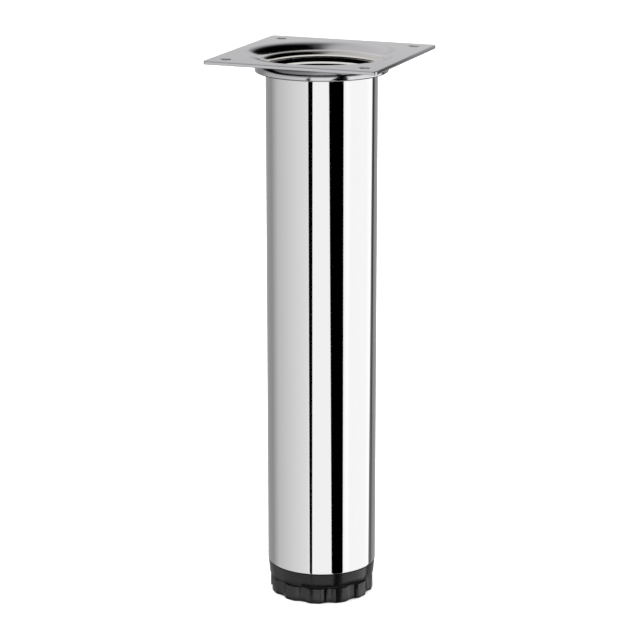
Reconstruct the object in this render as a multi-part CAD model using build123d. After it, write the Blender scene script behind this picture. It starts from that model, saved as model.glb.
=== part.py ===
from build123d import *
import math
import os

# Furniture leg: a round steel tube held by its flared end in the drawn dish of a square mounting plate,
# with a plastic plug and a fluted screw foot in its lower end.
# Millimetres and degrees. The origin is on the floor under the tube's axis, +Z points up to the plate, and
# the plate's sides lie along X and Y. The foot is screwed in as far as it goes.

# Leg
leg_height = 302.0
tube_radius = 30.0
tube_wall = 1.2
tube_end_break = 0.25

# Flared top end of the tube
flare_bend = 3.9
flare_angle = 80.0
flare_rim_break = 0.35

# Mounting plate, pressed from one sheet
plate_side = 96.0
plate_thickness = 2.0
plate_corner = 2.0
plate_edge_round = 0.5
mouth_bend = 8.9
dish_floor_width = 3.75
dish_depth = 9.8
dish_corner = 0.85
lip_clearance = 0.05
lip_seat_round = 1.1
lip_lower_break = 0.3

# Screw holes, countersunk from below and coined from above
hole_spacing = 77.0
holes_per_side = 2
hole_radius = 2.5
hole_land = 0.55
coin_radius = 3.6
coin_depth = 0.2
coin_slope = 0.35
cutter_overrun = 1.0

# Screw thread of the adjuster, drawn as its outer cylinder
thread_radius = 5.0
thread_clearance = 0.05
stud_travel = 20.0
stud_tip_spare = 2.0
stud_tip_chamfer = 1.2
stud_head_radius = 8.0
stud_head_height = 4.0
stud_head_clearance = 0.2
stud_hole_clearance = 0.4

# Nut
nut_across_flats = 17.0
nut_height = 8.0
nut_sides = 6
nut_chamfer = 0.9
nut_pocket_clearance = 0.1
nut_cover = 2.0

# Plug in the tube's lower end
flange_height = 8.6
flange_overlap = 0.1
flange_taper = 0.9
flange_lower_round = 0.8
socket_floor = 3.0
socket_wall = 2.0
socket_hub_wall = 3.0
socket_insert = 14.2
socket_wall_clearance = 1.0
socket_lead_in = 0.7
socket_rib_count = 6
socket_rib_width = 2.0
socket_rib_drop = 1.5
nut_seat_height = 10.2
grip_rib_count = 12
grip_rib_width = 1.6
grip_rib_clearance = 0.05
grip_rib_end = 2.0

# Fluted foot
foot_height = 8.7
foot_gap = 0.5
foot_radius = 28.6
flute_count = 12
flute_radius = 7.5
flute_depth = 1.5
flute_edge_round = 0.8
flute_turn = -1.8
foot_lower_break = 0.7
foot_upper_break = 0.4
foot_rim_wall = 3.0
foot_floor = 2.5
foot_recess_depth = 0.6
foot_land = 6.0
foot_hub_wall = 3.0
foot_rib_count = 6
foot_rib_width = 1.8

# Heights and radii that follow from the sizes above
bore_radius = tube_radius - tube_wall
dish_wall_radius = tube_radius + dish_floor_width
mouth_radius = dish_wall_radius + mouth_bend
lip_radius = tube_radius + lip_clearance
bend_level = leg_height - mouth_bend
lip_bottom = leg_height - dish_depth
lip_top = lip_bottom + plate_thickness
flare_level = lip_top - lip_seat_round

socket_bottom = foot_height + foot_gap
tube_bottom = socket_bottom + flange_height
socket_top = tube_bottom + socket_insert
nut_seat = socket_bottom + nut_seat_height
nut_top = nut_seat + nut_height
hub_top = nut_top + nut_cover
stud_hole_radius = thread_radius + stud_hole_clearance
stud_head_bottom = foot_floor + foot_recess_depth + stud_head_clearance
stud_head_top = stud_head_bottom + stud_head_height
stud_tip = nut_top + stud_travel + stud_tip_spare


def ring_of(profile):
    """Turns a closed outline, drawn as radius and height, into a solid round the leg's axis."""
    return revolve(Plane.XZ * profile, Axis.Z)


def disc(radius, bottom, top):
    """A plain round cutter or body from one height to another."""
    return extrude(Pos(0, 0, bottom) * Circle(radius), top - bottom)


def spokes(count, width, reach):
    """Flat bars from the axis outwards, evenly turned, as one outline."""
    bars = Sketch()
    for place in PolarLocations(0, count):
        bars += place * Pos(reach / 2, 0) * Rectangle(reach, width)
    return bars


def dish_profile():
    """Section of the drawn dish: a wide rounded mouth that ends in a flat lip round the tube."""
    mouth_centre = (mouth_radius, bend_level)
    under_bend = mouth_bend - plate_thickness
    wall_radius = mouth_radius - under_bend
    mouth_sweep = math.degrees(math.acos((lip_top - bend_level) / mouth_bend))
    mouth = CenterArc(mouth_centre, mouth_bend, 90, mouth_sweep)
    section = make_face(
        [
            mouth.edge(),
            Line(mouth @ 1, (lip_radius, lip_top)).edge(),
            Line((lip_radius, lip_top), (lip_radius, lip_bottom)).edge(),
            Line((lip_radius, lip_bottom), (wall_radius, lip_bottom)).edge(),
            Line((wall_radius, lip_bottom), (wall_radius, bend_level)).edge(),
            CenterArc(mouth_centre, under_bend, 180, -90).edge(),
            Line((mouth_radius, leg_height - plate_thickness), (mouth_radius, leg_height)).edge(),
        ]
    )
    lip_corners = section.vertices().group_by(Axis.X)[0].sort_by(Axis.Y)
    section = fillet(lip_corners[-1], lip_seat_round)
    lower_corners = section.vertices().group_by(Axis.Y)[0].sort_by(Axis.X)
    section = fillet(lower_corners[0], lip_lower_break)
    lower_corners = section.vertices().group_by(Axis.Y)[0].sort_by(Axis.X)
    return fillet(lower_corners[-1], dish_corner)


def screw_hole_cutter():
    """Cutter for one hole: coined ring on top, straight land, 90 degree countersink underneath."""
    land_bottom = coin_depth + hole_land
    sink_radius = hole_radius + plate_thickness - land_bottom
    outline = Polyline(
        (0, cutter_overrun),
        (coin_radius, cutter_overrun),
        (coin_radius, 0),
        (coin_radius - coin_slope, -coin_depth),
        (hole_radius, -coin_depth),
        (hole_radius, -land_bottom),
        (sink_radius, -plate_thickness),
        (sink_radius + cutter_overrun, -plate_thickness - cutter_overrun),
        (0, -plate_thickness - cutter_overrun),
        close=True,
    )
    return ring_of(make_face(outline.edges()))


def mounting_plate():
    """Square sheet with rounded corners, its middle drawn down into a dish that the tube passes through."""
    sheet = extrude(RectangleRounded(plate_side, plate_side, plate_corner), plate_thickness)
    plate = Pos(0, 0, leg_height - plate_thickness) * sheet
    upper_edge = plate.faces().sort_by(Axis.Z)[-1].outer_wire().edges()
    plate = fillet(upper_edge, plate_edge_round)
    plate -= disc(mouth_radius, leg_height - plate_thickness, leg_height)
    plate += ring_of(dish_profile())
    for place in GridLocations(hole_spacing, hole_spacing, holes_per_side, holes_per_side):
        plate -= Pos(0, 0, leg_height) * place * screw_hole_cutter()
    return plate


def leg_tube():
    """Tube whose top end is flared out over the lip of the dish."""
    bend_centre = (tube_radius + flare_bend, flare_level)
    bore_bend = flare_bend + tube_wall
    outer_face = CenterArc(bend_centre, flare_bend, 180, -flare_angle)
    bore_face = CenterArc(bend_centre, bore_bend, 180 - flare_angle, flare_angle)
    section = make_face(
        [
            Line((bore_radius, tube_bottom), (tube_radius, tube_bottom)).edge(),
            Line((tube_radius, tube_bottom), (tube_radius, flare_level)).edge(),
            outer_face.edge(),
            Line(outer_face @ 1, bore_face @ 0).edge(),
            bore_face.edge(),
            Line((bore_radius, flare_level), (bore_radius, tube_bottom)).edge(),
        ]
    )
    rim_corners = section.vertices().sort_by(Axis.Y)[-2:]
    section = fillet(rim_corners, flare_rim_break)
    end_corners = section.vertices().sort_by(Axis.Y)[:2]
    return ring_of(fillet(end_corners, tube_end_break))


def foot_socket():
    """Moulded plug: tapered flange below the tube, ribbed wall inside it and a hub that holds the nut."""
    flange_top_radius = tube_radius - flange_overlap
    wall_radius = bore_radius - socket_wall_clearance
    wall_inner = wall_radius - socket_wall
    pocket_flats = nut_across_flats / 2 + nut_pocket_clearance
    hub_radius = pocket_flats / math.cos(math.pi / nut_sides) + socket_hub_wall
    floor_top = socket_bottom + socket_floor
    outline = Polyline(
        (stud_hole_radius, socket_bottom),
        (flange_top_radius - flange_taper, socket_bottom),
        (flange_top_radius, tube_bottom),
        (wall_radius, tube_bottom),
        (wall_radius, socket_top - socket_lead_in),
        (wall_radius - socket_lead_in, socket_top),
        (wall_inner, socket_top),
        (wall_inner, floor_top),
        (hub_radius, floor_top),
        (hub_radius, hub_top),
        (stud_hole_radius, hub_top),
        close=True,
    )
    section = make_face(outline.edges())
    lower_corner = section.vertices().group_by(Axis.Y)[0].sort_by(Axis.X)[-1]
    section = fillet(lower_corner, flange_lower_round)
    socket = ring_of(section)

    between = Circle(wall_inner) - Circle(hub_radius)
    webs = between & spokes(socket_rib_count, socket_rib_width, wall_radius)
    socket += extrude(Pos(0, 0, floor_top) * webs, hub_top - socket_rib_drop - floor_top)

    around = Circle(bore_radius - grip_rib_clearance) - Circle(wall_radius)
    grips = around & spokes(grip_rib_count, grip_rib_width, tube_radius)
    grip_length = socket_insert - 2 * grip_rib_end
    socket += extrude(Pos(0, 0, tube_bottom + grip_rib_end) * grips, grip_length)

    pocket = RegularPolygon(pocket_flats, nut_sides, major_radius=False)
    return socket - extrude(Pos(0, 0, nut_seat) * pocket, hub_top - nut_seat)


def socket_nut():
    """Hexagon nut in the plug's hub, its corners chamfered at both ends."""
    hexagon = RegularPolygon(nut_across_flats / 2, nut_sides, major_radius=False)
    blank = extrude(Pos(0, 0, nut_seat) * hexagon, nut_height)
    corner_radius = nut_across_flats / 2 / math.cos(math.pi / nut_sides)
    turned = disc(corner_radius, nut_seat, nut_top)
    turned = chamfer(turned.edges(), nut_chamfer / 2, nut_chamfer)
    return (blank & turned) - disc(thread_radius + thread_clearance, nut_seat, nut_top)


def adjuster_stud():
    """Threaded stud with a round head that the foot is moulded round."""
    head = disc(stud_head_radius, stud_head_bottom, stud_head_top)
    shank = disc(thread_radius, stud_head_top, stud_tip)
    shank = chamfer(shank.edges().sort_by(Axis.Z)[-1], stud_tip_chamfer)
    return head + shank


def foot_outline():
    """Circle with scooped flutes, the lobes between them rounded at their edges."""
    outline = Sketch() + Circle(foot_radius)
    centre = foot_radius - flute_depth + flute_radius
    for place in PolarLocations(centre, flute_count, start_angle=flute_turn):
        outline -= place * Circle(flute_radius)
    return fillet(outline.vertices(), flute_edge_round)


def fluted_foot():
    """Moulded foot: fluted rim, cored top with ribs to a hub round the stud, recessed underside."""
    foot = extrude(foot_outline(), foot_height)
    foot = chamfer(foot.faces().sort_by(Axis.Z)[0].outer_wire().edges(), foot_lower_break)
    foot = chamfer(foot.faces().sort_by(Axis.Z)[-1].outer_wire().edges(), foot_upper_break)

    rim_inner = foot_radius - flute_depth - foot_rim_wall
    pocket_radius = stud_head_radius + stud_head_clearance
    hub_radius = pocket_radius + foot_hub_wall
    floor_top = foot_recess_depth + foot_floor
    cored = Circle(rim_inner) - Circle(hub_radius)
    cored -= spokes(foot_rib_count, foot_rib_width, foot_radius)
    foot -= extrude(Pos(0, 0, floor_top) * cored, foot_height - floor_top)

    foot -= disc(foot_radius - flute_depth - foot_land, 0, foot_recess_depth)
    foot -= disc(pocket_radius, stud_head_bottom - stud_head_clearance, stud_head_top + stud_head_clearance)
    return foot - disc(stud_hole_radius, stud_head_top, foot_height)


makers = [mounting_plate, leg_tube, foot_socket, socket_nut, adjuster_stud, fluted_foot]

os.makedirs("parts", exist_ok=True)
for maker in makers:
    piece = maker()
    piece.label = maker.__name__
    export_step(piece, os.path.join("parts", f"{maker.__name__}.step"))
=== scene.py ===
# %% [markdown]
# A furniture leg, dressed for a studio picture
#
# The leg has a square steel plate with a drawn dish, a chromed tube whose flared end sits in the dish, and
# a black screw foot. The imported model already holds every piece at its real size, so this script only adds
# what the eye wants: smooth surfaces for the mirror finishes, real screw threads, and the finishes.
# Every object is in metres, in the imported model's own frame.

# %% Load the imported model
import math

import bmesh
import bpy
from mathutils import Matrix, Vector


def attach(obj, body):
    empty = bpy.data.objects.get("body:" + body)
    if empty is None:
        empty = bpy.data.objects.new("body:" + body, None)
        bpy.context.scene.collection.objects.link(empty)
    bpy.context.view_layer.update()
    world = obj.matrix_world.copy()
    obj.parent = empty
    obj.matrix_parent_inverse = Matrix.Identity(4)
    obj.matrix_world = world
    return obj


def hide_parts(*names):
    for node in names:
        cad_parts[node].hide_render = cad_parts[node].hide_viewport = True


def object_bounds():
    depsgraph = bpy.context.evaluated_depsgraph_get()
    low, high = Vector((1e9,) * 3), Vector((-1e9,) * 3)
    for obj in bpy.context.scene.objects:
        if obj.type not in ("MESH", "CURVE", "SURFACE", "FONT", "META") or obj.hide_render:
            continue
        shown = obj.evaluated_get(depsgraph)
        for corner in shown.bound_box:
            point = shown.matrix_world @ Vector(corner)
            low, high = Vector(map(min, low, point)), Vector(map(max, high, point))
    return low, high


MM = 0.001
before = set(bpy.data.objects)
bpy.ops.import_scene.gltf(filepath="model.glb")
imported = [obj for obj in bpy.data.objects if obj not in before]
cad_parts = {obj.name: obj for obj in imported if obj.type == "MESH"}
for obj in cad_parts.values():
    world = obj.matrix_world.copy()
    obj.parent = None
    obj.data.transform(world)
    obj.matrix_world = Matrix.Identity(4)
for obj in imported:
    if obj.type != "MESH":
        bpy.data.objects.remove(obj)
cad_low, cad_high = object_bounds()
leg_top = cad_high.z
print("nodes:", sorted(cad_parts), "leg height:", round(leg_top, 4))

# %% [markdown]
# Camera
#
# A long lens looks down on the leg from a little above the plate. Its angle, distance and lens come from
# the plate's outline and the tube's two ends in the photograph, solved as one pinhole camera.
# The leg's axis is almost in the middle of the picture, so the camera needs no shift.

# %% Camera
CAMERA_LENS = 134.12
CAMERA_AZIMUTH = math.radians(21.25)
CAMERA_PITCH = math.radians(15.393)
CAMERA_DISTANCE = 1256.5 * MM
CAMERA_ABOVE_PLATE = 198.81 * MM
CAMERA_SIDESTEP = -0.943 * MM


def make_camera():
    data = bpy.data.cameras.new("leg_camera")
    data.lens = CAMERA_LENS
    data.sensor_width = 36.0
    data.clip_start = 0.05
    data.clip_end = 60.0
    camera = bpy.data.objects.new("leg_camera", data)
    right = Vector((math.cos(CAMERA_AZIMUTH), math.sin(CAMERA_AZIMUTH), 0))
    back = Vector((math.sin(CAMERA_AZIMUTH), -math.cos(CAMERA_AZIMUTH), 0))
    place = back * CAMERA_DISTANCE + right * CAMERA_SIDESTEP
    camera.location = (place.x, place.y, leg_top + CAMERA_ABOVE_PLATE)
    camera.rotation_euler = (math.pi / 2 - CAMERA_PITCH, 0, CAMERA_AZIMUTH)
    bpy.context.scene.collection.objects.link(camera)
    bpy.context.scene.camera = camera
    return camera


camera = make_camera()
print("camera at", [round(v, 3) for v in camera.location])

# %% [markdown]
# Node helpers
#
# A finish is a small tree of shader nodes. These helpers keep the trees short: one adds a node with its
# settings and one joins two sockets. The others each add the node that is needed most often, Math, and
# hand back its output, so that a formula can be written as a chain of calls.

# %% Node helpers


def add_node(tree, kind, **settings):
    node = tree.nodes.new(kind)
    for key, value in settings.items():
        setattr(node, key, value)
    return node


def join(tree, source, target):
    tree.links.new(source, target)


def math_step(tree, operation, *values):
    """One Math node. A number is set on its socket, and an output is joined to it."""
    node = add_node(tree, "ShaderNodeMath", operation=operation)
    for socket, value in zip(node.inputs, values):
        if isinstance(value, (int, float)):
            socket.default_value = value
        else:
            join(tree, value, socket)
    return node.outputs[0]


def clamped(tree, value):
    node = add_node(tree, "ShaderNodeClamp")
    join(tree, value, node.inputs["Value"])
    return node.outputs["Result"]


def past_step(tree, value, blur):
    """A soft step from zero to one where value passes zero."""
    return clamped(tree, math_step(tree, "MULTIPLY_ADD", value, 1 / blur, 0.5))


print("node helpers:", [helper.__name__ for helper in (add_node, join, math_step, clamped, past_step)])

# %% [markdown]
# Ramps and mixes
#
# A ramp turns one number into a grey or a colour, through a few stops. A mix blends two of them by a
# factor, or multiplies them when a shade lies over a light.

# %% Ramps and mixes


def ramp_step(tree, factor, stops):
    """A ramp through (place, grey or colour) stops, read at factor."""
    node = add_node(tree, "ShaderNodeValToRGB")
    ramp = node.color_ramp
    while len(ramp.elements) < len(stops):
        ramp.elements.new(1.0)
    for element, (place, colour) in zip(ramp.elements, stops):
        if isinstance(colour, (int, float)):
            colour = (colour, colour, colour)
        element.position = place
        element.color = (*colour, 1.0)
    join(tree, factor, node.inputs["Fac"])
    return node.outputs["Color"]


def blend_step(tree, factor, first, second, blend_type="MIX"):
    """Mixes two greys or colours by factor."""
    node = add_node(tree, "ShaderNodeMix", data_type="RGBA", blend_type=blend_type)
    for name, value in (("Factor", factor), ("A", first), ("B", second)):
        socket = [s for s in node.inputs if s.name == name and s.enabled][0]
        if isinstance(value, (int, float)):
            socket.default_value = value if name == "Factor" else (value, value, value, 1)
        else:
            join(tree, value, socket)
    return [s for s in node.outputs if s.enabled][0]


print("mix helpers:", [helper.__name__ for helper in (ramp_step, blend_step)])

# %% [markdown]
# Studio wall
#
# Chrome has no colour of its own: it shows the room. So the room is drawn as a round wall of soft light,
# with black flags that give the tube its dark stripes, as a photographer does with strips of black card.
# The wall's brightness is a ramp over the direction round the leg. Zero degrees is towards the camera and
# plus is to its right. A flag is a span of directions, and it may lean, so its edges have a slope.

# %% Studio wall
WALL = [
    (-180, 0.52),
    (-146, 0.29),
    (-126, 0.27),
    (-103, 0.50),
    (-62, 0.64),
    (-30, 0.74),
    (-24, 0.92),
    (14, 0.92),
    (48, 0.95),
    (54, 1.04),
    (64, 0.96),
    (104, 0.97),
    (118, 1.05),
    (129, 1.00),
    (131, 0.20),
    (148, 0.29),
    (180, 0.52),
]
FLAGS = [
    {"left": -26.9, "right": -19.2, "left_lean": -10, "right_lean": 8.5, "blur": 0.5, "dark": 0.0},
    {"left": 17.4, "right": 45.7, "left_lean": -34, "right_lean": -3.5, "blur": 0.6, "dark": 0.0},
    {"left": 123.7, "right": 135.2, "left_lean": 30, "right_lean": 30, "blur": 1.2, "dark": 0.14},
]
LEAN_LEVEL = -0.257


def flag_step(tree, degrees, height, flag):
    """One where a direction misses the flag, and the flag's own grey where it meets it."""
    rise = math_step(tree, "SUBTRACT", height, LEAN_LEVEL)
    left = math_step(tree, "MULTIPLY_ADD", rise, flag["left_lean"], flag["left"])
    right = math_step(tree, "MULTIPLY_ADD", rise, flag["right_lean"], flag["right"])
    past_left = math_step(tree, "SUBTRACT", degrees, left)
    before_right = math_step(tree, "SUBTRACT", right, degrees)
    inside = past_step(tree, math_step(tree, "MINIMUM", past_left, before_right), flag["blur"])
    return math_step(tree, "MULTIPLY_ADD", inside, flag["dark"] - 1, 1.0)


def wall_light(tree, degrees, height):
    share = math_step(tree, "MULTIPLY_ADD", degrees, 1 / 360, 0.5)
    light = ramp_step(tree, share, [(d / 360 + 0.5, grey) for d, grey in WALL])
    for flag in FLAGS:
        light = blend_step(tree, 1.0, light, flag_step(tree, degrees, height, flag), "MULTIPLY")
    return light


print("studio wall has", len(WALL), "stops and", len(FLAGS), "flags")

# %% [markdown]
# Room above
#
# The plate and the dish look upwards, so they mirror another part of the room. A long soft box hangs round
# the leg, with dark room under it. Above it the ceiling is light on the left and black on the right,
# which draws the black crescent in the dish, and behind the leg it is light down to the wall.
# The box's borders are tilted planes: a level is a direction's height, and the tilt lifts it towards the
# camera. A ceiling's stops run from the camera's left, -1, to its right, 1.

# %% Room above
BOX_LIGHT = 0.80
ROOM_DARK = 0.01
BOX_BOTTOM = {"level": 0.38, "tilt": 0.21, "blur": 0.07}
BOX_TOP = {"level": 0.62, "tilt": 0.37, "blur": 0.06}
CEILING_FRONT = [
    (-1.0, 0.58),
    (-0.3, 0.50),
    (-0.15, 0.38),
    (-0.05, 0.20),
    (0.03, 0.08),
    (0.2, 0.0),
    (1.0, 0.0),
]
CEILING_BACK = [(-1.0, 0.58), (0.0, 0.62), (0.1, 0.42), (0.27, 0.02), (0.4, 0.0), (1.0, 0.0)]
LOW_SHADE = [(0.0, 0.70), (0.2, 0.72), (0.45, 1.0), (1.0, 1.0)]
BEHIND_MIDDLE = 0.525
BEHIND_BLUR = 0.55
OPEN_BACK = 0.72


def side_ramp(tree, across, stops):
    share = math_step(tree, "MULTIPLY_ADD", across, 0.5, 0.5)
    return ramp_step(tree, share, [(place * 0.5 + 0.5, grey) for place, grey in stops])


def over_plane(tree, height, towards, plane):
    """How far a direction is above a plane that tilts up towards the camera."""
    level = math_step(tree, "MULTIPLY_ADD", towards, plane["tilt"], plane["level"])
    return math_step(tree, "SUBTRACT", height, level)


def room_above(tree, across, towards, height):
    away = math_step(tree, "MULTIPLY", towards, -1.0)
    behind = past_step(tree, math_step(tree, "SUBTRACT", away, BEHIND_MIDDLE), BEHIND_BLUR)
    front = side_ramp(tree, across, CEILING_FRONT)
    back = side_ramp(tree, across, CEILING_BACK)
    ceiling = blend_step(tree, behind, front, back)
    past_top = past_step(tree, over_plane(tree, height, towards, BOX_TOP), BOX_TOP["blur"])
    past_bottom = past_step(tree, over_plane(tree, height, towards, BOX_BOTTOM), BOX_BOTTOM["blur"])
    open_back = past_step(tree, math_step(tree, "SUBTRACT", away, OPEN_BACK), BOX_BOTTOM["blur"])
    lit = math_step(tree, "MAXIMUM", past_bottom, open_back)
    room = blend_step(tree, past_top, BOX_LIGHT, ceiling)
    room = blend_step(tree, 1.0, room, ramp_step(tree, height, LOW_SHADE), "MULTIPLY")
    return blend_step(tree, lit, ROOM_DARK, room)


print("soft box light", BOX_LIGHT, "over", len(CEILING_FRONT), "and", len(CEILING_BACK), "ceiling stops")

# %% [markdown]
# Table below
#
# The dish's underside and the plug look down, and mirror what the leg stands on. A table is darker than
# the wall, and its edge shows as a dark line across the dish's underside. Both are drawn
# as a shade that multiplies the wall's light. The line ends behind the leg, where the room is open.

# %% Table below
TABLE_EDGE = {"level": -0.64, "tilt": -0.18}
TABLE_LINE = 0.10
SHADE_LEVEL = -0.51
SHADE_BLUR = 0.06
SHADE_LIGHT = 0.42


def table_shade(tree, towards, height):
    """One on the wall, less towards the table, nothing on the line of its edge."""
    below = math_step(tree, "SUBTRACT", SHADE_LEVEL, height)
    shade = math_step(tree, "MULTIPLY_ADD", past_step(tree, below, SHADE_BLUR), SHADE_LIGHT - 1, 1.0)
    over_edge = over_plane(tree, height, clamped(tree, towards), TABLE_EDGE)
    to_line = math_step(tree, "SUBTRACT", math_step(tree, "ABSOLUTE", over_edge), TABLE_LINE)
    off_line = past_step(tree, to_line, TABLE_LINE / 2)
    away = math_step(tree, "MULTIPLY", towards, -1.0)
    past_table = past_step(tree, math_step(tree, "SUBTRACT", away, OPEN_BACK), TABLE_LINE)
    return math_step(tree, "MULTIPLY", shade, math_step(tree, "MAXIMUM", off_line, past_table))


print("table line at height", TABLE_EDGE["level"], "and shade", SHADE_LIGHT)

# %% [markdown]
# Studio world
#
# The world's shader is asked for the light of every direction that a mirror looks in. It turns
# the direction so that the camera is at zero, splits it into across, towards and height, and joins
# the room above to the wall below at the horizon. Cards and boxes of real geometry would do the same,
# but they would also get in the way of the camera when the leg is seen from other sides.

# %% Studio world
HORIZON_BLUR = 0.04


def make_studio():
    world = bpy.data.worlds.new("studio")
    world.use_nodes = True
    bpy.context.scene.world = world
    tree = world.node_tree
    tree.nodes.clear()
    place = add_node(tree, "ShaderNodeTexCoord")
    turn = add_node(tree, "ShaderNodeMapping", vector_type="POINT")
    turn.inputs["Rotation"].default_value = (0, 0, -CAMERA_AZIMUTH)
    join(tree, place.outputs["Generated"], turn.inputs["Vector"])
    parts = add_node(tree, "ShaderNodeSeparateXYZ")
    join(tree, turn.outputs["Vector"], parts.inputs["Vector"])
    across, along, height = parts.outputs
    towards = math_step(tree, "MULTIPLY", along, -1.0)
    heading = math_step(tree, "ARCTAN2", across, towards)
    degrees = math_step(tree, "MULTIPLY", heading, 180 / math.pi)

    wall = wall_light(tree, degrees, height)
    lower = blend_step(tree, 1.0, wall, table_shade(tree, towards, height), "MULTIPLY")
    upper = room_above(tree, across, towards, height)
    over_horizon = clamped(tree, math_step(tree, "MULTIPLY", height, 1 / HORIZON_BLUR))
    room = blend_step(tree, over_horizon, lower, upper)

    light = add_node(tree, "ShaderNodeBackground")
    join(tree, room, light.inputs["Color"])
    out = add_node(tree, "ShaderNodeOutputWorld")
    join(tree, light.outputs["Background"], out.inputs["Surface"])
    return world


studio = make_studio()
print("studio world has", len(studio.node_tree.nodes), "nodes")

# %% [markdown]
# Soft light
#
# The room above is mostly there to be mirrored. The light that falls on the floor and on the black plastic
# comes from one large soft box overhead. It is kept out of the mirror, because its reflection would show
# as a white square in the dish.

# %% Soft light
SOFT_BOX_SIZE = 4.0
SOFT_BOX_HEIGHT = 3.0
SOFT_BOX_POWER = 260.0


def make_soft_light():
    data = bpy.data.lights.new("soft_box", "AREA")
    data.shape = "DISK"
    data.size = SOFT_BOX_SIZE
    data.energy = SOFT_BOX_POWER
    lamp = bpy.data.objects.new("soft_box", data)
    lamp.location = (0, 0, SOFT_BOX_HEIGHT)
    lamp.visible_glossy = False
    lamp.visible_camera = False
    bpy.context.scene.collection.objects.link(lamp)
    return lamp


soft_light = make_soft_light()
print("soft box", SOFT_BOX_SIZE, "m wide,", round(soft_light.location.z, 2), "m up")

# %% [markdown]
# Floor
#
# The leg stands on a plain pale sheet. It is wide enough that no view sees its edge, and it is left
# out of mirror reflections, so that the tube shows the studio wall all the way down.
# The foot always stands on it, so it goes down with the stud when the foot is screwed out.
# The standard view keeps the sheet's white as it is.

# %% Floor
FLOOR_RADIUS = 9.0
FLOOR_SEGMENTS = 96
FLOOR_DROP = 0.05 * MM
PAPER_WHITE = 0.92


def make_floor():
    bm = bmesh.new()
    bmesh.ops.create_circle(bm, cap_ends=True, segments=FLOOR_SEGMENTS, radius=FLOOR_RADIUS)
    bmesh.ops.translate(bm, verts=bm.verts, vec=(0, 0, -FLOOR_DROP))
    mesh = bpy.data.meshes.new("studio_floor")
    bm.to_mesh(mesh)
    bm.free()
    floor = bpy.data.objects.new("studio_floor", mesh)
    bpy.context.scene.collection.objects.link(floor)
    finish = bpy.data.materials.new("studio_paper")
    finish.use_nodes = True
    paper = finish.node_tree.nodes["Principled BSDF"]
    paper.inputs["Base Color"].default_value = (PAPER_WHITE, PAPER_WHITE, PAPER_WHITE, 1)
    paper.inputs["Roughness"].default_value = 1.0
    paper.inputs["Specular IOR Level"].default_value = 0.0
    mesh.materials.append(finish)
    floor.visible_glossy = False
    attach(floor, "stud")
    return floor


studio_floor = make_floor()
bpy.context.scene.view_settings.view_transform = "Standard"
print(studio_floor.name, "radius", FLOOR_RADIUS, "m")

# %% [markdown]
# Finishes
#
# All finishes read Object coordinates, which are metres in the leg's own frame, so a pattern's scale is
# its size on the real thing. The helper starts a material and hands back its tree, its shader and the
# object coordinates. Numbers that are the same all over are set on the shader itself.

# %% Finish helpers


def new_finish(name, metallic, roughness, colour):
    finish = bpy.data.materials.new(name)
    finish.use_nodes = True
    tree = finish.node_tree
    shader = tree.nodes["Principled BSDF"]
    shader.inputs["Metallic"].default_value = metallic
    shader.inputs["Roughness"].default_value = roughness
    shader.inputs["Base Color"].default_value = (*colour, 1)
    place = add_node(tree, "ShaderNodeTexCoord").outputs["Object"]
    return finish, tree, shader, place


def noise_step(tree, place, scale, detail=2.0, stretch=(1, 1, 1)):
    """Noise whose lumps are about 1 / scale metres wide, stretched along the axes."""
    sized = add_node(tree, "ShaderNodeMapping", vector_type="POINT")
    sized.inputs["Scale"].default_value = stretch
    join(tree, place, sized.inputs["Vector"])
    node = add_node(tree, "ShaderNodeTexNoise")
    node.inputs["Scale"].default_value = scale
    node.inputs["Detail"].default_value = detail
    join(tree, sized.outputs["Vector"], node.inputs["Vector"])
    return node.outputs["Fac"]


def range_step(tree, value, low, high):
    """Turns a value from 0..1 into low..high."""
    return math_step(tree, "MULTIPLY_ADD", value, high - low, low)


def bump_step(tree, shader, height, distance, strength):
    node = add_node(tree, "ShaderNodeBump")
    node.inputs["Distance"].default_value = distance
    node.inputs["Strength"].default_value = strength
    join(tree, height, node.inputs["Height"])
    join(tree, node.outputs["Normal"], shader.inputs["Normal"])


print("finish helpers:", [helper.__name__ for helper in (new_finish, noise_step, range_step, bump_step)])

# %% [markdown]
# Chrome
#
# The tube is polished and plated on the outside, which leaves a clean mirror with very faint polishing
# lines round it. The inside of the flare is only plated, so it is warmer. Down the bore, below the step,
# the colour is painted nearly black: painted shade for the deep tube that light hardly reaches.
# Distance from the axis and height tell these zones apart, so that one finish does for the whole tube.

# %% Chrome
CHROME_GREY = (0.95, 0.95, 0.955)
NICKEL_WARM = (0.88, 0.86, 0.82)
BORE_LIMIT = 29.2 * MM
FLARE_LIMIT = leg_top - 9.3 * MM
# From this level down, the bore is painted nearly black: painted shade for the deep tube.
BORE_SHADE_START = leg_top - 11.0 * MM
LIMIT_BLUR = 0.3 * MM
OUTER_GREY = 0.95
# The bore's painted shade: a dark colour that stands in for the shade deep in the tube.
BORE_PAINTED_SHADE = 0.16
MOTTLE_SCALE = 90
MOTTLE_DARK = 0.94
LINE_SCALE = 400
LINE_STRETCH = (0.05, 0.05, 6.0)
OUTER_ROUGH = (0.025, 0.055)
INNER_ROUGH = 0.10


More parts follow.
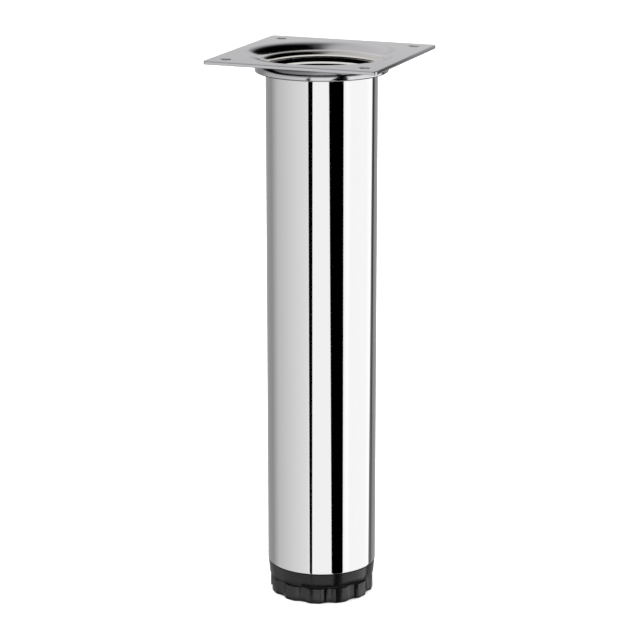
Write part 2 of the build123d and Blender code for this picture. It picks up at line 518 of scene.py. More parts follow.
def chrome_finish():
    finish, tree, shader, place = new_finish("bright_chrome", 1.0, 0.04, CHROME_GREY)
    parts = add_node(tree, "ShaderNodeSeparateXYZ")
    join(tree, place, parts.inputs["Vector"])
    squared = math_step(tree, "MULTIPLY", parts.outputs["X"], parts.outputs["X"])
    squared = math_step(tree, "MULTIPLY_ADD", parts.outputs["Y"], parts.outputs["Y"], squared)
    in_bore = math_step(tree, "SUBTRACT", BORE_LIMIT, math_step(tree, "SQRT", squared))
    in_flare = math_step(tree, "SUBTRACT", parts.outputs["Z"], FLARE_LIMIT)
    inner = past_step(tree, math_step(tree, "MAXIMUM", in_bore, in_flare), LIMIT_BLUR)
    mottle = noise_step(tree, place, MOTTLE_SCALE, 3.0)
    dull = tuple(channel * MOTTLE_DARK for channel in NICKEL_WARM)
    warm = ramp_step(tree, mottle, [(0.3, dull), (0.7, NICKEL_WARM)])
    # Below the step the bore takes the dark colour, which is painted shade.
    over_step = math_step(tree, "SUBTRACT", parts.outputs["Z"], BORE_SHADE_START)
    lining = blend_step(tree, past_step(tree, over_step, LIMIT_BLUR), BORE_PAINTED_SHADE, warm)
    join(tree, blend_step(tree, inner, OUTER_GREY, lining), shader.inputs["Base Color"])
    lines = noise_step(tree, place, LINE_SCALE, 3.0, LINE_STRETCH)
    outer_rough = range_step(tree, lines, *OUTER_ROUGH)
    rough = add_node(tree, "ShaderNodeMix", data_type="FLOAT")
    join(tree, inner, rough.inputs["Factor"])
    join(tree, outer_rough, rough.inputs["A"])
    rough.inputs["B"].default_value = INNER_ROUGH
    join(tree, rough.outputs["Result"], shader.inputs["Roughness"])
    return finish


chrome = chrome_finish()
# The printed level is where the bore's painted shade begins.
print("finish", chrome.name, "plated down to", round(BORE_SHADE_START, 4), "m")

# %% [markdown]
# Plated sheet steel
#
# The plate is cold rolled sheet with a satin nickel plating. Rolling leaves a fine grain along the sheet,
# and the plating has a slight haze. Its colour is also painted a little darker towards the front, against
# Y: painted shade, for the front of the plate catches less light than the back.
# The grain is noise that is stretched along X, and it drives both the roughness and the bump.

# %% Plated sheet steel
STEEL_GREY = (0.86, 0.845, 0.875)
STEEL_DARK = (0.70, 0.685, 0.715)
# Length along Y over which the plate's painted shade fades from the front to the back.
FRONT_SHADE_SPAN = 110 * MM
HAZE_SHARE = 0.2
HAZE_SCALE = 55
ROLLED_SCALE = 900
ROLLED_STRETCH = (0.06, 1.0, 1.0)
STEEL_ROUGH = (0.10, 0.14)
ROLLED_DEPTH = 0.004 * MM


def steel_finish():
    finish, tree, shader, place = new_finish("plated_steel", 1.0, 0.2, STEEL_GREY)
    haze = noise_step(tree, place, HAZE_SCALE, 4.0)
    parts = add_node(tree, "ShaderNodeSeparateXYZ")
    join(tree, place, parts.inputs["Vector"])
    # Painted shade: the colour darkens towards the front of the plate, against Y, with the haze added.
    along = math_step(tree, "MULTIPLY_ADD", parts.outputs["Y"], 1 / FRONT_SHADE_SPAN, 0.5)
    bright = math_step(tree, "MULTIPLY_ADD", haze, HAZE_SHARE, along)
    join(tree, ramp_step(tree, bright, [(0.1, STEEL_DARK), (1.1, STEEL_GREY)]), shader.inputs["Base Color"])
    grain = noise_step(tree, place, ROLLED_SCALE, 4.0, ROLLED_STRETCH)
    join(tree, range_step(tree, grain, *STEEL_ROUGH), shader.inputs["Roughness"])
    bump_step(tree, shader, grain, ROLLED_DEPTH, 0.25)
    return finish


steel = steel_finish()
print("finish", steel.name, "roughness", STEEL_ROUGH)

# %% [markdown]
# Moulded plastic
#
# The plug and the foot are injection moulded in black. The mould is spark eroded, so the skin has a very
# fine grain that breaks up its highlights, and the black is a little uneven in gloss. The plug's mould
# is polished more than the foot's.

# %% Moulded plastic
PLASTIC_BLACK = (0.003, 0.003, 0.0035)
PLASTIC_WORN = (0.005, 0.005, 0.0055)
PLUG_GLOSS = 0.85
FOOT_GLOSS = 0.7
CLOUD_SCALE = 120
SKIN_SCALE = 2600
SKIN_DEPTH = 0.01 * MM
PLASTIC_ROUGH = (0.13, 0.19)


def plastic_finish(name, gloss):
    finish, tree, shader, place = new_finish(name, 0.0, 0.16, PLASTIC_BLACK)
    shader.inputs["Specular IOR Level"].default_value = gloss
    cloud = noise_step(tree, place, CLOUD_SCALE, 3.0)
    black = ramp_step(tree, cloud, [(0.35, PLASTIC_BLACK), (0.7, PLASTIC_WORN)])
    join(tree, black, shader.inputs["Base Color"])
    join(tree, range_step(tree, cloud, *PLASTIC_ROUGH), shader.inputs["Roughness"])
    bump_step(tree, shader, noise_step(tree, place, SKIN_SCALE, 2.0), SKIN_DEPTH, 0.15)
    return finish


plug_plastic = plastic_finish("plug_black", PLUG_GLOSS)
foot_plastic = plastic_finish("foot_black", FOOT_GLOSS)
print("finishes", plug_plastic.name, "and", foot_plastic.name)

# %% [markdown]
# Zinc
#
# The nut and the stud are zinc plated steel: a soft metal shine, faintly blue, with a crystalline mottle.
# One noise drives its colour, its roughness and a faint bump, because on the real plating they
# come from the same crystals.

# %% Zinc
ZINC_LIGHT = (0.66, 0.68, 0.71)
ZINC_DARK = (0.5, 0.52, 0.55)
CRYSTAL_SCALE = 700
CRYSTAL_DEPTH = 0.01 * MM
ZINC_ROUGH = (0.42, 0.28)


def zinc_finish():
    finish, tree, shader, place = new_finish("zinc_plating", 1.0, 0.34, ZINC_LIGHT)
    mottle = noise_step(tree, place, CRYSTAL_SCALE, 4.0)
    join(tree, ramp_step(tree, mottle, [(0.3, ZINC_DARK), (0.65, ZINC_LIGHT)]), shader.inputs["Base Color"])
    join(tree, range_step(tree, mottle, *ZINC_ROUGH), shader.inputs["Roughness"])
    bump_step(tree, shader, mottle, CRYSTAL_DEPTH, 0.2)
    return finish


zinc = zinc_finish()
print("all finishes:", [finish.name for finish in (chrome, steel, plug_plastic, foot_plastic, zinc)])

# %% [markdown]
# Outline helpers
#
# Almost everything here is turned or pressed round one axis, so most pieces start as an outline of radius
# and height, in millimetres. A bend or a rounded edge in it is an arc, and its points come
# from a formula, so that a radius is one number.

# %% Outline helpers


def arc(centre, radius, start, sweep, steps):
    """Points along an arc of an outline, both ends included. Angles in degrees, 0 points outwards."""
    points = []
    for step in range(steps + 1):
        angle = math.radians(start + sweep * step / steps)
        points.append((centre[0] + radius * math.cos(angle), centre[1] + radius * math.sin(angle)))
    return points


def rounded_corner(corner, along_in, along_out, radius, steps=4):
    """Points that round a square corner of an outline, from the incoming to the outgoing direction."""
    corner = Vector(corner)
    into = Vector(along_in) * radius
    out_of = Vector(along_out) * radius
    middle = corner - into + out_of
    points = []
    for step in range(steps + 1):
        turn = math.pi / 2 * step / steps
        spot = middle - out_of * math.cos(turn) + into * math.sin(turn)
        points.append((spot.x, spot.y))
    return points


print("quarter arc of radius 1:", [(round(x, 2), round(z, 2)) for x, z in arc((0, 0), 1, 0, 90, 2)])

# %% [markdown]
# Mesh helpers
#
# Spin turns an outline round an upright axis, as a lathe does. What a lathe can't make is done at a
# level: the open edges at one height are found, and filled to a flat face. Points closer
# together than the weld distance become one, which closes the seams and the poles.

# %% Mesh helpers
SPIN_STEPS = 192
WELD = 0.002 * MM


def spin_outline(bm, outline, closed=True, steps=SPIN_STEPS, centre=(0, 0)):
    """Turns an outline of (radius, height) in millimetres round an upright axis."""
    x, y = centre
    line = [bm.verts.new(((x + r) * MM, y * MM, z * MM)) for r, z in outline]
    pairs = list(zip(line, line[1:]))
    if closed:
        pairs.append((line[-1], line[0]))
    edges = [bm.edges.new(pair) for pair in pairs]
    bmesh.ops.spin(
        bm,
        geom=line + edges,
        cent=(x * MM, y * MM, 0),
        axis=(0, 0, 1),
        angle=2 * math.pi,
        steps=steps,
        use_merge=True,
    )


def level_edges(bm, height):
    """Edges that lie level at a height, in millimetres."""
    found = []
    for edge in bm.edges:
        if all(abs(vert.co.z - height * MM) < WELD for vert in edge.verts):
            found.append(edge)
    return found


def fill_level(bm, height):
    """Fills the flat face between the open edges at a height."""
    rim = [edge for edge in level_edges(bm, height) if edge.is_boundary]
    bmesh.ops.triangle_fill(bm, edges=rim, use_beauty=True, use_dissolve=False)


print("spin steps:", SPIN_STEPS, "weld distance:", WELD, "m")

# %% [markdown]
# Edge helpers
#
# No real edge is perfectly sharp, and a small round on it catches a line of light. Bevel makes such a
# round along chosen edges. The two big faces of a slab are found by their area, so that they can be taken
# off and filled again when everything that cuts through them is in place.

# %% Edge helpers
ROUND_PROFILE = 0.5


def bevel_edges(bm, edges, offset, segments, profile=ROUND_PROFILE):
    bmesh.ops.bevel(
        bm,
        geom=edges,
        offset=offset * MM,
        segments=segments,
        profile=profile,
        affect="EDGES",
        material=-1,
    )


def largest_faces(bm):
    """The two big flat faces of a slab."""
    return sorted(bm.faces, key=lambda face: face.calc_area())[-2:]


print("edge helpers:", [helper.__name__ for helper in (bevel_edges, largest_faces)])

# %% [markdown]
# Closing and naming a piece
#
# Mirror finishes need smooth shading, and it has to stop at real edges, so edges sharper than a limit
# are marked. Then the piece is linked, tied to the body that it moves with and given its material, and
# the imported solid that it stands for is hidden. The printed open edges have to be none.

# %% Closing and naming a piece
SHARP_ANGLE = math.radians(35)


def shade(bm):
    bmesh.ops.remove_doubles(bm, verts=bm.verts, dist=WELD)
    bmesh.ops.recalc_face_normals(bm, faces=bm.faces)
    for face in bm.faces:
        face.smooth = True
    for edge in bm.edges:
        if len(edge.link_faces) == 2:
            edge.smooth = edge.calc_face_angle() < SHARP_ANGLE


def finish_piece(bm, name, node, body, material):
    """Closes the mesh, links the piece, and hides the imported solid that it stands for."""
    shade(bm)
    open_edges = sum(1 for edge in bm.edges if len(edge.link_faces) != 2)
    mesh = bpy.data.meshes.new(name)
    bm.to_mesh(mesh)
    bm.free()
    mesh.materials.append(material)
    piece = bpy.data.objects.new(name, mesh)
    bpy.context.scene.collection.objects.link(piece)
    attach(piece, body)
    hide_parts(node)
    print(name, "faces", len(mesh.polygons), "open edges", open_edges)
    return piece


print("edges sharper than", round(math.degrees(SHARP_ANGLE)), "degrees stay sharp")

# %% [markdown]
# Where plate and tube meet
#
# The dish ends in a lip that turns in over the tube, and the tube's flare sits on the lip's round. Both
# pieces are drawn from the same few levels, in millimetres above the floor, so that they
# still touch if one of them is changed.

# %% Where plate and tube meet
PLATE_TOP = leg_top / MM
PLATE_THICKNESS = 2.0
DISH_DEPTH = 9.8
LIP_SEAT_ROUND = 1.1
LIP_BOTTOM = PLATE_TOP - DISH_DEPTH
LIP_TOP = LIP_BOTTOM + PLATE_THICKNESS
FLARE_LEVEL = LIP_TOP - LIP_SEAT_ROUND
print("lip from", round(LIP_BOTTOM, 2), "to", round(LIP_TOP, 2), "mm, flare starts at", round(FLARE_LEVEL, 2))

# %% [markdown]
# Leg tube
#
# The real tube is drawn steel, cut square at the foot and flared at the top, where it can't be pulled
# through the dish. The tool that opens the flare also widens the bore a little, which leaves a small step
# inside. One closed outline holds both walls, the flare, the step and the small rounds at its edges.
# A point close beside each bend keeps the walls perfectly straight in the mirror finish.

# %% Leg tube
TUBE_RADIUS = 30.0
TUBE_WALL = 1.2
TUBE_BORE = TUBE_RADIUS - TUBE_WALL
TUBE_BOTTOM = 17.8
TUBE_END_ROUND = 0.25
FLARE_BEND = 3.9
FLARE_ANGLE = 80.0
RIM_ROUND = 0.35
SUPPORT = 0.4
MOUTH_BORE = 29.4
MOUTH_KINK = 11.0
INNER_START = 7.25
FLARE_STEPS = 20
STEP_DEPTHS = [
    (MOUTH_BORE, 7.3),
    (MOUTH_BORE, 9.55),
    (MOUTH_BORE, 9.62),
    (MOUTH_BORE - 0.03, 9.68),
    (TUBE_BORE + 0.03, 10.54),
    (TUBE_BORE, 10.6),
    (TUBE_BORE, 10.68),
]


def tube_outline():
    centre = (TUBE_RADIUS + FLARE_BEND, FLARE_LEVEL)
    lean = math.radians(FLARE_ANGLE)
    outward = (math.sin(lean), math.cos(lean))
    inward = (-math.cos(lean), math.sin(lean))
    back = (-outward[0], -outward[1])
    outer_end = arc(centre, FLARE_BEND, 180, -FLARE_ANGLE, 1)[-1]
    inner_end = arc(centre, FLARE_BEND + TUBE_WALL, 180, -FLARE_ANGLE, 1)[-1]
    kink = math.radians(MOUTH_KINK)
    reach = (inner_end[0] - MOUTH_BORE) / (math.cos(kink) - math.cos(lean))
    rise = (inner_end[1] - PLATE_TOP + INNER_START) / (math.sin(lean) - math.sin(kink))
    middle = (MOUTH_BORE + reach * math.cos(kink), PLATE_TOP - INNER_START - rise * math.sin(kink))
    outer_cut = math.degrees(RIM_ROUND / FLARE_BEND)
    inner_cut = math.degrees(RIM_ROUND / reach)
    points = rounded_corner((TUBE_BORE, TUBE_BOTTOM), (0, -1), (1, 0), TUBE_END_ROUND)
    points += rounded_corner((TUBE_RADIUS, TUBE_BOTTOM), (1, 0), (0, 1), TUBE_END_ROUND)
    points += [(TUBE_RADIUS, TUBE_BOTTOM + 2 * SUPPORT), (TUBE_RADIUS, FLARE_LEVEL - SUPPORT)]
    points += arc(centre, FLARE_BEND, 180, outer_cut - FLARE_ANGLE, FLARE_STEPS)
    points += rounded_corner(outer_end, outward, inward, RIM_ROUND)[1:]
    points += rounded_corner(inner_end, inward, back, RIM_ROUND)[:-1]
    sweep = FLARE_ANGLE - inner_cut - MOUTH_KINK
    for across, up in arc((0, 0), 1, 180 - FLARE_ANGLE + inner_cut, sweep, FLARE_STEPS):
        points.append((middle[0] + reach * across, middle[1] + rise * up))
    points += [(radius, PLATE_TOP - depth) for radius, depth in STEP_DEPTHS]
    points.append((TUBE_BORE, TUBE_BOTTOM + 2 * SUPPORT))
    return points


def make_leg_tube():
    bm = bmesh.new()
    spin_outline(bm, tube_outline())
    return finish_piece(bm, "chromed_tube", "leg_tube", "leg", chrome)


chromed_tube = make_leg_tube()

# %% [markdown]
# Dish
#
# The plate is one sheet, pressed down in the middle and punched at the corners. It is made in three
# parts. The first is the dish, which is spun from its section: a wide bend down from the plate, a small
# round to the floor, and the lip round the tube. The sheet keeps its thickness all the way.
# A narrow flat band beside every bend keeps the fill level.

# %% Dish
BAND = 0.2
MOUTH_BEND = 8.9
DISH_WALL = 33.75
MOUTH_RADIUS = DISH_WALL + MOUTH_BEND
BEND_LEVEL = PLATE_TOP - MOUTH_BEND
LIP_RADIUS = TUBE_RADIUS + 0.05
LIP_LOWER_BREAK = 0.3
DISH_CORNER = 0.85
DISH_INNER_ROUND = 0.4
BEND_STEPS = 32
UNDER_BEND_STEPS = 28
LIP_STEPS = 8


def dish_outline():
    mouth = (MOUTH_RADIUS, BEND_LEVEL)
    under_bend = MOUTH_BEND - PLATE_THICKNESS
    under_wall = MOUTH_RADIUS - under_bend
    inner_level = LIP_TOP + DISH_INNER_ROUND
    sweep = math.degrees(math.acos((inner_level - BEND_LEVEL) / MOUTH_BEND))
    points = [(MOUTH_RADIUS + BAND, PLATE_TOP)]
    points += arc(mouth, MOUTH_BEND, 90, sweep, BEND_STEPS)
    inner_wall = points[-1][0]
    points += rounded_corner((inner_wall, LIP_TOP), (0, -1), (-1, 0), DISH_INNER_ROUND)[1:]
    points += rounded_corner((LIP_RADIUS, LIP_TOP), (-1, 0), (0, -1), LIP_SEAT_ROUND, LIP_STEPS)
    points += rounded_corner((LIP_RADIUS, LIP_BOTTOM), (0, -1), (1, 0), LIP_LOWER_BREAK)
    points += rounded_corner((under_wall, LIP_BOTTOM), (1, 0), (0, 1), DISH_CORNER, LIP_STEPS)
    points += arc(mouth, under_bend, 180, -90, UNDER_BEND_STEPS)
    points += [(MOUTH_RADIUS + BAND, PLATE_TOP - PLATE_THICKNESS)]
    return points


print("dish section has", len(dish_outline()), "points")

# %% [markdown]
# Screw holes
#
# Four holes near the corners take the screws. The press coins a shallow ring round each one on top, and
# the countersink for the screw's head is on the underside, because the screws go up into the furniture.
# A hole is spun round its own axis, like the dish.

# %% Screw holes
HOLE_SPACING = 77.0
HOLE_RADIUS = 2.5
HOLE_LAND = 0.55
COIN_RADIUS = 3.6
COIN_DEPTH = 0.2
COIN_SLOPE = 0.35
HOLE_STEPS = 48


def hole_outline():
    top = PLATE_TOP
    land_bottom = COIN_DEPTH + HOLE_LAND
    sink_radius = HOLE_RADIUS + PLATE_THICKNESS - land_bottom
    return [
        (COIN_RADIUS + BAND, top),
        (COIN_RADIUS, top),
        (COIN_RADIUS - COIN_SLOPE, top - COIN_DEPTH),
        (HOLE_RADIUS, top - COIN_DEPTH),
        (HOLE_RADIUS, top - land_bottom),
        (sink_radius, top - PLATE_THICKNESS),
        (sink_radius + BAND, top - PLATE_THICKNESS),
    ]


print("hole section has", len(hole_outline()), "points")

# %% [markdown]
# Square rim
#
# The sheet is sheared to a square with rounded corners. The shear pulls the top edge round and leaves the
# lower edge nearly sharp. The rim starts as one face whose corners are bevelled. It is extruded to
# a slab, its edges are rounded, and its two big faces are taken off, so that only the rim is left.

# %% Square rim
PLATE_SIDE = 96.0
PLATE_CORNER = 2.0
CORNER_SEGMENTS = 10
PLATE_EDGE_ROUND = 0.5
SHEAR_BREAK = 0.15
PLATE_EDGE_SEGMENTS = 6
SHEAR_SEGMENTS = 2


def make_square_rim(bm):
    """Rounded square slab whose big faces are inset and removed, so that only the worked rim is left."""
    bottom = PLATE_TOP - PLATE_THICKNESS
    bmesh.ops.create_grid(bm, x_segments=1, y_segments=1, size=PLATE_SIDE / 2 * MM)
    bmesh.ops.translate(bm, verts=bm.verts, vec=(0, 0, bottom * MM))
    bmesh.ops.bevel(
        bm,
        geom=bm.verts[:],
        offset=PLATE_CORNER * MM,
        segments=CORNER_SEGMENTS,
        profile=ROUND_PROFILE,
        affect="VERTICES",
        material=-1,
    )
    grown = bmesh.ops.extrude_face_region(bm, geom=bm.faces[:], use_keep_orig=True)
    lifted = [item for item in grown["geom"] if isinstance(item, bmesh.types.BMVert)]
    bmesh.ops.translate(bm, verts=lifted, vec=(0, 0, PLATE_THICKNESS * MM))
    bmesh.ops.recalc_face_normals(bm, faces=bm.faces)
    bevel_edges(bm, level_edges(bm, PLATE_TOP), PLATE_EDGE_ROUND, PLATE_EDGE_SEGMENTS)
    bevel_edges(bm, level_edges(bm, bottom), SHEAR_BREAK, SHEAR_SEGMENTS)
    bmesh.ops.inset_individual(bm, faces=largest_faces(bm), thickness=BAND * MM, use_even_offset=True)
    bmesh.ops.delete(bm, geom=largest_faces(bm), context="FACES_ONLY")


print("square rim of", PLATE_SIDE, "mm with corners of", PLATE_CORNER, "mm")

# %% [markdown]
# Mounting plate
#
# Rim, dish and holes now hang in the air beside each other. Both flat faces of the sheet are filled
# between them in one go each, which makes the plate one closed skin.

# %% Mounting plate


def make_mounting_plate():
    bm = bmesh.new()
    make_square_rim(bm)
    spin_outline(bm, dish_outline(), closed=False)
    half = HOLE_SPACING / 2
    for x in (-half, half):
        for y in (-half, half):
            spin_outline(bm, hole_outline(), closed=False, steps=HOLE_STEPS, centre=(x, y))
    bmesh.ops.remove_doubles(bm, verts=bm.verts, dist=WELD)
    fill_level(bm, PLATE_TOP)
    fill_level(bm, PLATE_TOP - PLATE_THICKNESS)
    return finish_piece(bm, "pressed_plate", "mounting_plate", "leg", steel)


pressed_plate = make_mounting_plate()

# %% [markdown]
# Plug and nut
#
# The plug is one moulding: the smooth flange that shows under the tube, and a ribbed cup inside it that
# holds the nut. Its solid already has every rib, so the piece is a merged copy of it, which lets the
# flange shade smoothly. A small rebate under the tube's end draws the thin dark line between them.
# The nut's solid is used as it is and only gets its zinc.

# %% Plug and nut
FLANGE_TOP = TUBE_BOTTOM
REBATE = 0.45
REBATE_PROFILE = 0.0
REBATE_SEGMENTS = 2


def make_plug():
    bm = bmesh.new()
    bm.from_mesh(bpy.data.objects["foot_socket"].data)
    bmesh.ops.remove_doubles(bm, verts=bm.verts, dist=WELD)
    level = level_edges(bm, FLANGE_TOP)
    widest = max(math.hypot(vert.co.x, vert.co.y) for edge in level for vert in edge.verts)
    rim = [e for e in level if all(math.hypot(v.co.x, v.co.y) > widest - WELD for v in e.verts)]
    bevel_edges(bm, rim, REBATE, REBATE_SEGMENTS, REBATE_PROFILE)
    print("plug rim edges cut back:", len(rim))
    return finish_piece(bm, "moulded_plug", "foot_socket", "leg", plug_plastic)


moulded_plug = make_plug()
for slot in bpy.data.objects["socket_nut"].material_slots:
    slot.material = zinc

# %% [markdown]
# The foot's outline
#
# The foot's grip is a circle with twelve scooped flutes for the fingers. A fine circle is made first, and
# each of its points moves in to that outline: inside a flute to the scoop, at a lobe's edge to a small
# round, and elsewhere nowhere. Moving points keeps the outline one clean loop, where cutting twelve
# cylinders out of the foot would leave slivers.

# %% The foot's outline
FOOT_HEIGHT = 8.7
FOOT_RADIUS = 28.6
FLUTE_COUNT = 12
FLUTE_RADIUS = 7.5
FLUTE_DEPTH = 1.5
FLUTE_ROUND = 0.8
FLUTE_TURN = math.radians(-1.8)
FOOT_SEGMENTS = 720
SCOOP = FOOT_RADIUS - FLUTE_DEPTH + FLUTE_RADIUS
LOBE = FOOT_RADIUS - FLUTE_ROUND
LOBE_ANGLE = math.acos((LOBE**2 + SCOOP**2 - (FLUTE_RADIUS + FLUTE_ROUND) ** 2) / (2 * LOBE * SCOOP))


def foot_reach(angle):
    """Distance from the axis to the foot's outline, in millimetres."""
    pitch = 2 * math.pi / FLUTE_COUNT
    off = abs((angle - FLUTE_TURN + pitch / 2) % pitch - pitch / 2)
    if off >= LOBE_ANGLE:
        return FOOT_RADIUS
    to_round = LOBE * math.cos(off - LOBE_ANGLE)
    inside = FLUTE_ROUND**2 - (LOBE * math.sin(off - LOBE_ANGLE)) ** 2
    to_scoop = SCOOP * math.cos(off) - math.sqrt(FLUTE_RADIUS**2 - (SCOOP * math.sin(off)) ** 2)
    touch = math.atan2(
        LOBE * math.sin(LOBE_ANGLE) * FLUTE_RADIUS,
        (SCOOP * FLUTE_ROUND + LOBE * math.cos(LOBE_ANGLE) * FLUTE_RADIUS),
    )
    if off > touch and inside > 0:
        return to_round + math.sqrt(inside)
    return to_scoop


print("foot reaches from", round(foot_reach(FLUTE_TURN), 2), "to", FOOT_RADIUS, "mm")

# %% [markdown]
# The foot's body
#
# The outline is extruded to a slab, and its rims get the small rounds that every moulding has: a larger
# one below, which slides over the floor, and a smaller one above. The big faces come off for now, because
# the recess, the hub and the ribs will share them.

# %% The foot's body
LOWER_BREAK = 0.7
UPPER_BREAK = 0.4
BREAK_SEGMENTS = 3


def grip_slab(bm):
    bmesh.ops.create_circle(bm, cap_ends=True, segments=FOOT_SEGMENTS, radius=FOOT_RADIUS * MM)
    for vert in bm.verts:
        angle = math.atan2(vert.co.y, vert.co.x)
        reach = foot_reach(angle) * MM
        vert.co = (reach * math.cos(angle), reach * math.sin(angle), 0)
    grown = bmesh.ops.extrude_face_region(bm, geom=bm.faces[:], use_keep_orig=True)
    lifted = [item for item in grown["geom"] if isinstance(item, bmesh.types.BMVert)]
    bmesh.ops.translate(bm, verts=lifted, vec=(0, 0, FOOT_HEIGHT * MM))
    bmesh.ops.recalc_face_normals(bm, faces=bm.faces)
    bevel_edges(bm, level_edges(bm, FOOT_HEIGHT), UPPER_BREAK, BREAK_SEGMENTS)
    bevel_edges(bm, level_edges(bm, 0), LOWER_BREAK, BREAK_SEGMENTS)
    bmesh.ops.delete(bm, geom=largest_faces(bm), context="FACES_ONLY")


print("foot body is", FOOT_HEIGHT, "mm high")

# %% [markdown]
# The foot's pockets
#
# A moulded foot is cored out from above to keep its walls thin, and ribs stiffen it. Here the ring between
# hub and rim is spun as one flat face, cut along both sides of each rib, and what lies between the ribs
# is extruded down to the pocket's floor.

# %% The foot's pockets
POCKET_FLOOR = 3.1
HEAD_POCKET_RADIUS = 8.2
FOOT_WALL = 3.0
RIM_INNER = FOOT_RADIUS - FLUTE_DEPTH - FOOT_WALL
FOOT_HUB = HEAD_POCKET_RADIUS + FOOT_WALL
FOOT_RIBS = 6
FOOT_RIB_WIDTH = 1.8


def cut_pockets(bm):
    """Spins the ring between hub and rim, cuts it along the ribs, and sinks what lies between them."""
    ring = [(RIM_INNER, FOOT_HEIGHT), (FOOT_HUB, FOOT_HEIGHT)]
    before = set(bm.faces)
    spin_outline(bm, ring, closed=False)
    directions = [math.pi * k / (FOOT_RIBS // 2) for k in range(FOOT_RIBS // 2)]
    for turn in directions:
        across = Vector((-math.sin(turn), math.cos(turn), 0))
        for side in (-1, 1):
            part = [face for face in bm.faces if face not in before]
            edges = list(dict.fromkeys(edge for face in part for edge in face.edges))
            verts = list(dict.fromkeys(vert for face in part for vert in face.verts))
            spot = across * side * FOOT_RIB_WIDTH / 2 * MM
            bmesh.ops.bisect_plane(bm, geom=part + edges + verts, plane_co=spot, plane_no=across, dist=WELD)
    sunk = []
    for face in bm.faces:
        if face in before:
            continue
        middle = face.calc_center_median()
        offs = [abs(middle.y * math.cos(turn) - middle.x * math.sin(turn)) for turn in directions]
        if min(offs) > FOOT_RIB_WIDTH / 2 * MM:
            sunk.append(face)
    grown = bmesh.ops.extrude_face_region(bm, geom=sunk, use_keep_orig=True)
    lowered = [item for item in grown["geom"] if isinstance(item, bmesh.types.BMVert)]
    bmesh.ops.translate(bm, verts=lowered, vec=(0, 0, (POCKET_FLOOR - FOOT_HEIGHT) * MM))
    bmesh.ops.delete(bm, geom=sunk, context="FACES")


print("foot has", FOOT_RIBS, "ribs between", FOOT_HUB, "and", round(RIM_INNER, 1), "mm")

# %% [markdown]
# Fluted foot
#
# The stud's head is moulded into the hub, so the hub is hollow inside, with a hole above for the
# stud. That hollow and the shallow recess underneath are two more spun outlines. Then the flat faces
# are filled, and the foot is one closed skin that turns with its own body.

# %% Fluted foot
STUD_HOLE = 5.4
STUD_HOLE_BREAK = 0.3
HEAD_POCKET_TOP = 7.5
RECESS_RADIUS = 21.1
RECESS_DEPTH = 0.6
RECESS_ROUND = 0.3


def foot_core():
    """Outline of the hub's top, the stud's hole and the hidden pocket for its head."""
    return [
        (STUD_HOLE + 2 * STUD_HOLE_BREAK, FOOT_HEIGHT),
        (STUD_HOLE + STUD_HOLE_BREAK, FOOT_HEIGHT),
        (STUD_HOLE, FOOT_HEIGHT - STUD_HOLE_BREAK),
        (STUD_HOLE, HEAD_POCKET_TOP),
        (HEAD_POCKET_RADIUS, HEAD_POCKET_TOP),
        (HEAD_POCKET_RADIUS, POCKET_FLOOR),
        (0, POCKET_FLOOR),
    ]


def foot_recess():
    points = [(RECESS_RADIUS + RECESS_ROUND, 0)]
    points += arc((RECESS_RADIUS + RECESS_ROUND, RECESS_ROUND), RECESS_ROUND, -90, -90, BREAK_SEGMENTS)[1:]
    points += [(RECESS_RADIUS, RECESS_DEPTH), (0, RECESS_DEPTH)]
    return points


def make_fluted_foot():
    bm = bmesh.new()
    grip_slab(bm)
    cut_pockets(bm)
    spin_outline(bm, foot_core(), closed=False)
    spin_outline(bm, foot_recess(), closed=False)
    bmesh.ops.remove_doubles(bm, verts=bm.verts, dist=WELD)
    fill_level(bm, FOOT_HEIGHT)
    fill_level(bm, 0)
    return finish_piece(bm, "screw_foot", "fluted_foot", "foot", foot_plastic)


screw_foot = make_fluted_foot()

# %% [markdown]
# Thread
#
# The stud carries the foot and is turned with it. Its thread is an M10 with a pitch of 1.5 mm, drawn as
# one tooth from valley to valley. Spin with a rise of one pitch per turn winds it up the stud. The packed
# solid is a plain cylinder, which is enough for the motion, but a screwed out foot shows the thread.

# %% Thread
THREAD_PITCH = 1.5
THREAD_CREST = 5.0
THREAD_ROOT = 4.1
THREAD_STEPS = 48
HEAD_TOP = 7.3
STUD_TIP = 49.4
CREST_FLAT = 0.19
ROOT_FLAT = 0.38


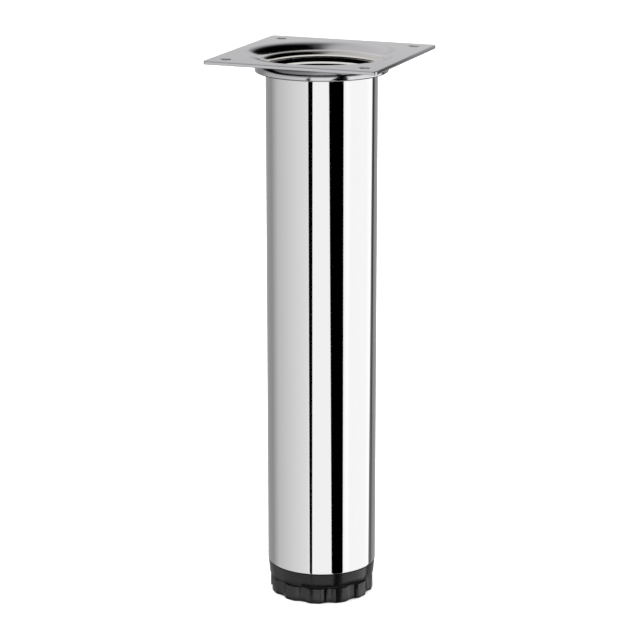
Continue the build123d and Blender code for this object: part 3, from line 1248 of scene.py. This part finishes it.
def wind_thread(bm):
    """A helical skin from under the head's top to above the tip, to be cut level afterwards."""
    turns = int((STUD_TIP - HEAD_TOP) / THREAD_PITCH) + 4
    start = HEAD_TOP - 2 * THREAD_PITCH
    flank = (THREAD_PITCH - CREST_FLAT - ROOT_FLAT) / 2
    tooth = [
        (THREAD_ROOT, 0),
        (THREAD_ROOT, ROOT_FLAT),
        (THREAD_CREST, ROOT_FLAT + flank),
        (THREAD_CREST, ROOT_FLAT + flank + CREST_FLAT),
        (THREAD_ROOT, THREAD_PITCH),
    ]
    line = [bm.verts.new((r * MM, 0, (start + z) * MM)) for r, z in tooth]
    edges = [bm.edges.new(pair) for pair in zip(line, line[1:])]
    steps = turns * THREAD_STEPS
    bmesh.ops.spin(
        bm,
        geom=line + edges,
        cent=(0, 0, 0),
        axis=(0, 0, 1),
        dvec=(0, 0, THREAD_PITCH * MM / THREAD_STEPS),
        angle=2 * math.pi * turns,
        steps=steps,
    )
    bmesh.ops.remove_doubles(bm, verts=bm.verts, dist=WELD)


print("thread of", THREAD_PITCH, "mm pitch from", HEAD_TOP, "to", STUD_TIP, "mm")

# %% [markdown]
# Threaded stud
#
# The wound thread is longer than the stud at both ends, so it is cut level there. Points near the tip are
# drawn in to a chamfer, which on the real stud lets it find its nut. A round head closes it below.

# %% Threaded stud
HEAD_RADIUS = 8.0
HEAD_BOTTOM = 3.3
HEAD_BREAK = 0.5
HEAD_STEPS = 64
TIP_CHAMFER = 1.2


def cut_level(bm, height, keep_above):
    geom = bm.verts[:] + bm.edges[:] + bm.faces[:]
    cut = bmesh.ops.bisect_plane(
        bm,
        geom=geom,
        dist=WELD / 10,
        plane_co=(0, 0, height * MM),
        plane_no=(0, 0, 1),
        clear_inner=keep_above,
        clear_outer=not keep_above,
    )
    return [item for item in cut["geom_cut"] if isinstance(item, bmesh.types.BMEdge)]


def make_stud():
    bm = bmesh.new()
    wind_thread(bm)
    cut_level(bm, HEAD_TOP, True)
    cut_level(bm, STUD_TIP, False)
    for vert in bm.verts:
        reach = math.hypot(vert.co.x, vert.co.y) / MM
        limit = THREAD_CREST - max(0.0, vert.co.z / MM - STUD_TIP + TIP_CHAMFER)
        if reach > limit:
            vert.co.x *= limit / reach
            vert.co.y *= limit / reach
    fill_level(bm, STUD_TIP)
    head = [
        (HEAD_RADIUS - HEAD_BREAK, HEAD_TOP),
        (HEAD_RADIUS, HEAD_TOP - HEAD_BREAK),
        (HEAD_RADIUS, HEAD_BOTTOM + HEAD_BREAK),
        (HEAD_RADIUS - HEAD_BREAK, HEAD_BOTTOM),
        (0, HEAD_BOTTOM),
    ]
    spin_outline(bm, head, closed=False, steps=HEAD_STEPS)
    bmesh.ops.remove_doubles(bm, verts=bm.verts, dist=WELD)
    fill_level(bm, HEAD_TOP)
    return finish_piece(bm, "threaded_stud", "adjuster_stud", "stud", zinc)


threaded_stud = make_stud()
